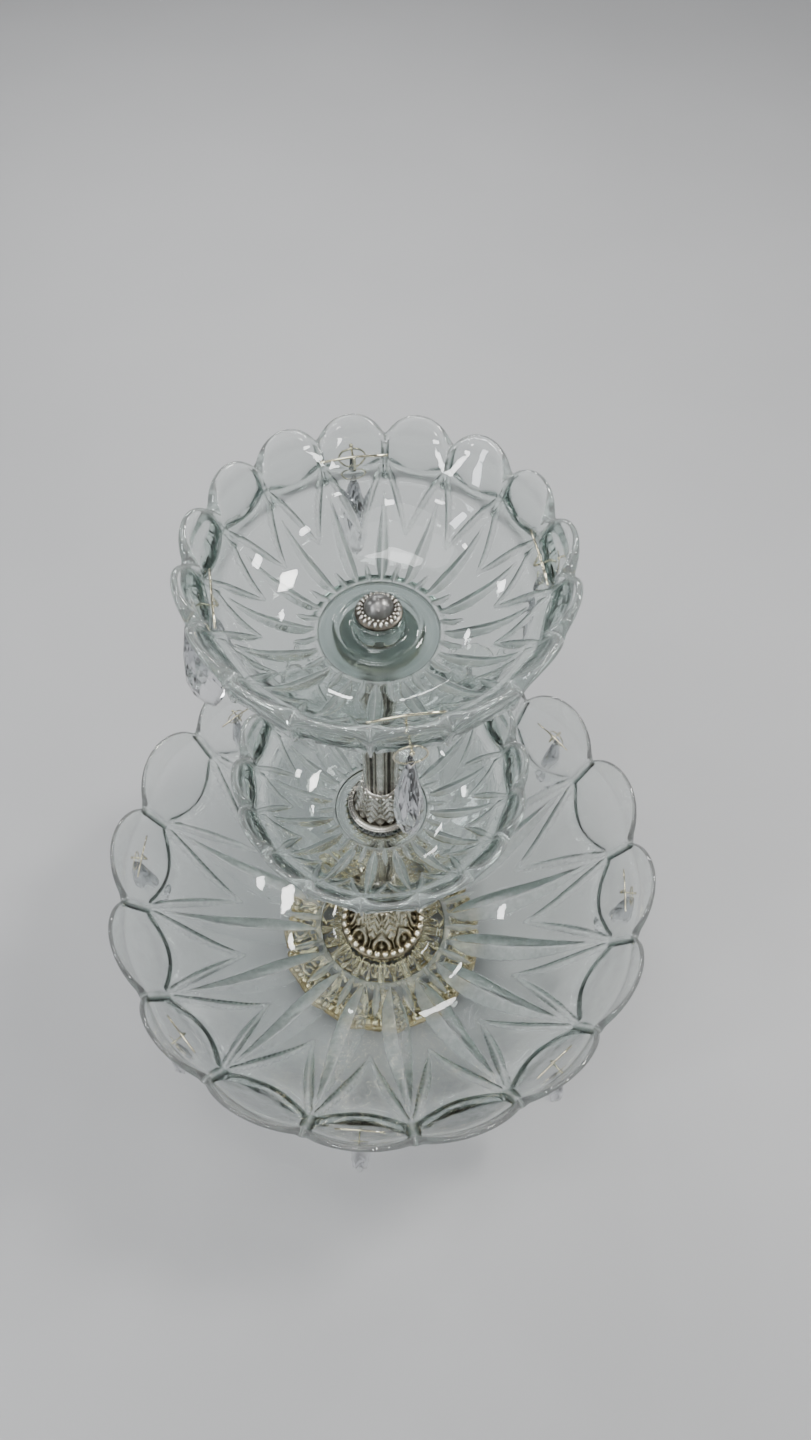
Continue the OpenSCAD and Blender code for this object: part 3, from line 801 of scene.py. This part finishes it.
def base_height(r):
    """Top of the base's dome at a radius."""
    t = np.clip((r - 17) / 49, 0, 1)
    return 12 + 17 * (1 - t) ** 1.8


def on_base(r, angle, lift):
    """A point that is a lift above the dome."""
    return np.stack([r * np.cos(angle), r * np.sin(angle), base_height(r) + lift], -1)


def base_normal(r, angle):
    slope = base_height(r + 0.5) - base_height(r - 0.5)
    up = np.stack([-slope * np.cos(angle), -slope * np.sin(angle), np.ones_like(angle)], -1)
    return up / np.linalg.norm(up, axis=-1)[..., None]


def s_scroll(length, turns):
    """An S with a volute at each end, along X. Its bend grows steadily from the middle."""
    s = np.linspace(-turns, turns, 90)
    bend = math.pi / 2 * s ** 2
    step = s[1] - s[0]
    x, y = np.cumsum(np.cos(bend)) * step, np.cumsum(np.sin(bend)) * step
    x, y = x - x.mean(), y - y.mean()
    tilt = math.radians(45)
    x, y = x * math.cos(tilt) + y * math.sin(tilt), y * math.cos(tilt) - x * math.sin(tilt)
    return x * length, y * length


def add_base_rings(shape):
    """The lobed hub, and the rim with its lobes and beads."""
    hub = [(ROD_HOLE_R, 24), (15, 24), (19, 23.4), (22.5, 22.6), (23.6, 23.6), (22.6, 25.4), (20, 27.2),
           (17.4, 29), (17, 33), (ROD_HOLE_R, 33)]
    rim = [(58.2, 9.6), (60, 8.4), (65.2, 8), (66, 8.8), (66, 10.4), (65.2, 11.6), (63.8, 11.3),
           (62.8, 12.4), (60, 13.4), (58.6, 12.4)]
    beads = 60

    def hub_relief(angle, r, z):
        lobes = 1.2 * dome(phase(angle, 24)) - 0.6
        return np.where((r > 17.6) & (z > 23.2), lobes * np.clip((r - 17.6) / 2, 0, 1), 0)

    def rim_relief(angle, r, z):
        lobes = 0.9 * dome(phase(angle, 72)) - 0.5
        return np.where((r < 63) & (z > 11.5), lobes, 0)

    shape.turned(hub, 240, hub_relief, spacing=0.8)
    shape.turned(rim, 432, rim_relief, spacing=1.2, shade=0.1)
    for k in range(beads):
        a = (k + 0.5) * TAU / beads
        shape.ball(polar(64.4, a, 11.4), 1.25, sides=8, shade=0.5)


def add_base_panel(shape, middle, width):
    """A pair of scrolls that face each other, a short leaf between them, and a long leaf with a row of
    beads at the edge of the panel. middle and width are angles."""
    x, y = s_scroll(16.5, 2.15)
    taper = 1.55 - 0.65 * np.abs(np.linspace(-1, 1, len(x))) ** 1.5
    scroll_r = 41.5
    for side in (-1, 1):
        r = scroll_r - 0.98 * x
        a = middle + side * (y + 5.6) / scroll_r
        shape.sweep(on_base(r, a, -1.2), taper, 8, 1.1, base_normal(r, a), shade=0.3)
        for end in (0, -1):
            shape.ball(on_base(r[end], a[end], -0.6), 1.9, base_normal(r[end], a[end]), sides=10,
                       shade=0.55)
    r = np.linspace(22.5, 59.5, 30)
    a = np.full(30, middle + width / 2)
    swell = 0.5 + 2.6 * np.sin(math.pi * np.linspace(0, 1, 30) ** 0.8) ** 1.2
    shape.sweep(on_base(r, a, -0.9), swell, 8, 0.55, base_normal(r, a), shade=0.35)
    for j in range(6):
        shape.ball(on_base(30 + 5 * j, a[0], 0.7), 0.95 - 0.06 * j, sides=8, shade=0.6)
    r = np.linspace(47, 59.5, 14)
    a = np.full(14, middle)
    swell = 0.5 + 3.0 * np.sin(math.pi * np.linspace(0.03, 1, 14)) ** 0.8
    shape.sweep(on_base(r, a, -0.9), swell, 8, 0.5, base_normal(r, a), shade=0.35)


def add_base_foot(shape, a):
    """A turned foot with five toes over its outside."""
    r, height = 58, 10.4
    heights = [0, 0.5, 1.6, 3.2, 4.6, 5.8, 7.2, 8.6, height]
    radii = [3.9, 4.6, 5.2, 4.9, 3.9, 3.4, 3.9, 5.2, 5.6]
    fine = np.linspace(0, height, 27)
    outwards = polar(1, a, 0)
    shape.sweep([polar(r, a, z) for z in fine], np.interp(fine, heights, radii), 24, 1, outwards,
                shade=0.25)
    swell = 0.5 + 1.0 * np.sin(math.pi * np.linspace(0.05, 0.95, 16))
    for j in range(-2, 3):
        set_out = 60.2 + 0.9 * (1 - abs(j) / 2)
        spine = [polar(set_out + 1.8 * math.sin(math.pi * t), a + j * 0.062, 11.2 - 10.3 * t)
                 for t in np.linspace(0, 1, 16)]
        shape.sweep(spine, swell, 8, 1, outwards, shade=0.45)


def make_base():
    """The pierced foot, tied together by two plain rings under its scrolls."""
    panels, feet = 12, 4
    shape = Solid()
    add_base_rings(shape)
    for k in range(panels):
        add_base_panel(shape, (k + 0.5) * TAU / panels, TAU / panels)
    for r in (35.0, 48.5):
        ring = on_base(np.full(144, r), np.arange(144) * TAU / 144, -1.8)
        shape.sweep(ring, 1.0, 8, closed=True, shade=0.05)
    for k in range(feet):
        add_base_foot(shape, (k + 0.5) * TAU / feet)
    shape.build("base_filigree", "stem", "gilt_casting", [GILT], ["base_casting"])


# ---- hangers and drops

RING_R, RING_WIRE = 5.6, 0.4
PIN_WIRE = 0.5
PIN_DROP = 7.5        # from the notches down to the hole of a hanger's tail
RING_DROP = 10.25     # from a hanger's tail down to the bottom of its ring
EYE_OFFSET = 0.7      # from there down to the middle of the drop's eye
EYE_R = 1.5


def hangers(prefix):
    """Number, distance from the stem, angle and height of each hanger's tail, from the rings' joints."""
    for joint in frame["joints"]:
        if joint["name"].startswith(prefix + "_ring"):
            x, y, z = (c / MM for c in joint["pos_m"])
            yield joint["child"].split("_")[-1], math.hypot(x, y), math.atan2(y, x), z


def placed(r, angle, z, points):
    """Moves points from a hanger's own axes, X outwards and Y round the stem, to the frame's."""
    p = np.asarray(points, float)
    c, s = math.cos(angle), math.sin(angle)
    x, y = p[:, 0] + r, p[:, 1]
    return np.stack([x * c - y * s, x * s + y * c, p[:, 2] + z], -1)


def make_pins(prefix, body, bowl):
    """A slightly bent bar across the inside of each petal, level with the notches. Its tail runs down
    the wall and out through the glass, to a bead."""
    shape = Solid()
    half_bar, lift, bow = 13.0, 4.4, 1.1
    zero = np.zeros(1)
    wall_high = bowl.inner_radius(zero + lift - PIN_DROP, zero + 0.9)[0]
    wall_low = bowl.inner_radius(zero - PIN_DROP, zero)[0]
    y = np.array([-half_bar, -half_bar + 0.1, -6, -1.6, -0.9, 0, 0.9, 1.6, 6, half_bar - 0.1, half_bar])
    bar_z = lift + bow * (1 - np.abs(y) / half_bar)
    bar_wire = PIN_WIRE * np.array([0.7] + [1.0] * (len(y) - 2) + [0.7])
    for _, r, angle, z in hangers(prefix):
        bar_x = math.sqrt((wall_high - 2 * PIN_WIRE) ** 2 - half_bar ** 2) - r
        turn_x = min(bar_x, wall_low - 2 * PIN_WIRE - r)
        bar = placed(r, angle, z, np.stack([bar_x + 0 * y, y, bar_z], -1))
        shape.sweep(bar, bar_wire, shade=0.2)
        t = np.linspace(0, 1, 9)
        down_x = bar_x * (1 - t) ** 2 + 2 * turn_x * t * (1 - t) + turn_x * t ** 2
        down_z = (lift + bow) * (1 - t) ** 2 + 2 * t * (1 - t)
        out_x = np.linspace(turn_x, 1.6, 12)[1:]
        tail_x, tail_z = np.append(down_x, out_x), np.append(down_z, 0 * out_x)
        shape.sweep(placed(r, angle, z, np.stack([tail_x, 0 * tail_x, tail_z], -1)), PIN_WIRE)
        shape.ball(placed(r, angle, z, [[2.0, 0, 0]])[0], 1.0, sides=12)
    shape.build(prefix + "_hanger_wires", body, "hanger_wire", [WIRE], [prefix + "_hanger_pins"])


def make_rings(prefix):
    """Jump rings, each with a small gap whose ends pass beside each other."""
    turn = np.linspace(0.03, TAU - 0.03, 64)
    a = turn + 0.6
    hang = PIN_WIRE + RING_WIRE + 0.05 - RING_R
    path = np.stack([0.12 * np.cos(turn / 2), RING_R * np.sin(a), RING_R * np.cos(a) + hang], -1)
    for number, r, angle, z in hangers(prefix):
        shape = Solid()
        shape.sweep(placed(r, angle, z, path), RING_WIRE, up=polar(1, angle, 0))
        node = f"{prefix}_ring_{number}"
        shape.build(node + "_wire", node, "hanger_wire", [WIRE], [node])


def crystal_blank():
    """Mesh of a cut drop without its eye: eight-sided levels, each with its height, half width, half
    thickness and whether it is turned by half a side, inside one convex skin."""
    levels = [(2.9, 2.0, 1.15, False), (1.4, 2.85, 1.2, False), (-2.6, 2.95, 1.25, False),
              (-6.5, 4.1, 2.4, True), (-15, 6.2, 3.9, False), (-24, 7.7, 5.2, True),
              (-32.7, 8.2, 5.8, False), (-39.5, 7.0, 5.0, True), (-45.5, 4.9, 3.5, False),
              (-51.1, 1.6, 1.2, True)]
    shape = bmesh.new()
    for z, half_w, half_t, turned in levels:
        for k in range(8):
            a = (k + (0.5 if turned else 0)) * TAU / 8
            shape.verts.new((half_w * math.cos(a), half_t * math.sin(a) * (1.0 if turned else 0.96), z))
    bmesh.ops.convex_hull(shape, input=shape.verts)
    bmesh.ops.dissolve_limit(shape, angle_limit=math.radians(1.5), verts=shape.verts, edges=shape.edges)
    loose = [v for v in shape.verts if not v.link_faces]
    bmesh.ops.delete(shape, geom=loose, context="VERTS")
    mesh = bpy.data.meshes.new("drop_blank")
    shape.to_mesh(mesh)
    shape.free()
    return mesh


def eye_drill():
    """Mesh of the round bar that cuts the eye, along Y."""
    shape = bmesh.new()
    bmesh.ops.create_cone(shape, cap_ends=True, segments=32, radius1=EYE_R, radius2=EYE_R, depth=12,
                          matrix=Matrix.Rotation(math.pi / 2, 4, "X"))
    mesh = bpy.data.meshes.new("drop_drill")
    shape.to_mesh(mesh)
    shape.free()
    return mesh


def crystal_mesh():
    """Points and faces of one cut drop, hung from the middle of its eye: broad along X."""
    blank, drill = (bpy.data.objects.new(m.name, m) for m in (crystal_blank(), eye_drill()))
    for obj in (blank, drill):
        bpy.context.scene.collection.objects.link(obj)
    cut = blank.modifiers.new("eye", "BOOLEAN")
    cut.object, cut.operation, cut.solver = drill, "DIFFERENCE", "EXACT"
    bpy.context.view_layer.update()
    made = blank.evaluated_get(bpy.context.evaluated_depsgraph_get()).to_mesh()
    points = [tuple(v.co) for v in made.vertices]
    faces = [list(f.vertices) for f in made.polygons]
    for obj in (blank, drill):
        bpy.data.objects.remove(obj)
    return points, faces


def make_drops(prefix, points, faces):
    for number, r, angle, z in hangers(prefix):
        node = f"{prefix}_drop_{number}"
        hung = placed(r, angle, z - RING_DROP - EYE_OFFSET, points)
        add_object(node + "_cut", hung, faces, node, [CRYSTAL], [node], smooth=False)


make_column("lower_column")
make_column("upper_column")
make_lower_collar()
make_upper_collar()
make_seat("middle_seat")
make_seat("top_seat")
make_knob()
make_rod()
make_base()
make_pins("top", "top_tier", TOP)
make_pins("bottom", "large_tier", LARGE)
drop_points, drop_faces = crystal_mesh()
for prefix in ("top", "bottom"):
    make_rings(prefix)
    make_drops(prefix, drop_points, drop_faces)

# ---- CAD pieces that stay

for name, node in frame["nodes"].items():
    node.data.materials.clear()
    node.data.materials.append(STEEL if name in ("base_washer", "base_nut") else PLASTIC)

# ---- camera, light and floor

CAMERA_AT = Vector((10.95, -222.6, 667.3)) * MM
PITCH, ROLL = math.radians(59.07), math.radians(1.67)
LENS, SENSOR = 25.02, 36
FLOOR_R = 12


def make_camera():
    """The photo's camera: it looks along Y, pitched down, and is rolled a little."""
    data = bpy.data.cameras.new("camera")
    data.lens, data.sensor_width = LENS, SENSOR
    data.clip_start, data.clip_end = 0.01, 50
    camera = bpy.data.objects.new("camera", data)
    bpy.context.scene.collection.objects.link(camera)
    ahead = Vector((0, math.cos(PITCH), -math.sin(PITCH)))
    right, up = Vector((1, 0, 0)), Vector((0, math.sin(PITCH), math.cos(PITCH)))
    x = right * math.cos(ROLL) + up * math.sin(ROLL)
    y = up * math.cos(ROLL) - right * math.sin(ROLL)
    axes = Matrix((x, y, -ahead)).transposed()
    camera.matrix_world = Matrix.Translation(CAMERA_AT) @ axes.to_4x4()
    bpy.context.scene.camera = camera


def make_floor():
    """A plain pale floor, wide enough to reach the horizon."""
    material, tree, shader = new_material("floor")
    grey = [(0.3, (0.4, 0.403, 0.41)), (0.7, (0.43, 0.433, 0.44))]
    feed(shader, "Base Color", ramp(tree, noise(tree, 3, 3), grey))
    shader.inputs["Roughness"].default_value = 0.55
    mesh = bpy.data.meshes.new("floor")
    sides = 96
    ring = [polar(FLOOR_R, TAU * i / sides, 0) for i in range(sides)]
    mesh.from_pydata(ring, [], [list(range(sides))])
    mesh.materials.append(material)
    floor = bpy.data.objects.new("floor", mesh)
    bpy.context.scene.collection.objects.link(floor)


def make_light(name, place, size, power, colour=(1, 1, 1)):
    """A rectangular lamp that faces the middle of the stand."""
    data = bpy.data.lights.new(name, "AREA")
    data.shape = "RECTANGLE"
    data.size, data.size_y = size
    data.energy = power
    data.color = colour
    light = bpy.data.objects.new(name, data)
    light.location = place
    light.rotation_mode = "QUATERNION"
    light.rotation_quaternion = (Vector((0, 0, 0.2)) - Vector(place)).to_track_quat("-Z", "Y")
    bpy.context.scene.collection.objects.link(light)


def make_sky_light():
    """A very soft light from above that keeps the far floor as pale as the near floor."""
    data = bpy.data.lights.new("sky_light", "SUN")
    data.energy, data.angle = 1.2, 1.0
    light = bpy.data.objects.new("sky_light", data)
    light.rotation_euler = (0.35, -0.2, 0)
    bpy.context.scene.collection.objects.link(light)


def make_world():
    """A grey surround, pale at the horizon and dark overhead, for the glass to reflect."""
    world = bpy.data.worlds.new("studio")
    world.use_nodes = True
    tree = world.node_tree
    back = tree.nodes["Background"]
    coords = add_node(tree, "ShaderNodeTexCoord")
    split = add_node(tree, "ShaderNodeSeparateXYZ")
    tree.links.new(coords.outputs["Generated"], split.inputs[0])
    tree.links.new(ramp(tree, map_range(tree, split.outputs["Z"], -0.2, 1, 0, 1),
                        [(0.2, (0.46, 0.47, 0.49)), (0.65, (0.08, 0.082, 0.09))]), back.inputs["Color"])
    back.inputs["Strength"].default_value = 0.9
    bpy.context.scene.world = world


make_camera()
make_floor()
make_world()
make_sky_light()
make_light("key", (0.8, 0.35, 1.3), (0.26, 0.26), 11, (1, 0.98, 0.95))
make_light("fill", (-1.0, -0.6, 1.0), (0.12, 0.5), 4.5, (0.93, 0.96, 1))
make_light("back", (-0.35, 1.2, 0.8), (0.5, 0.12), 5)
make_light("overhead", (-0.15, 0.1, 1.7), (0.36, 0.36), 4)
sparkles, sparkle_r = 10, 0.95
for k in range(sparkles):
    place = polar(sparkle_r, (k + 0.35) * TAU / sparkles, 0.75 + 0.45 * (k % 2))
    make_light(f"sparkle_{k}", place, (0.1, 0.1), 1.3)
bpy.context.scene.view_settings.view_transform = "AgX"
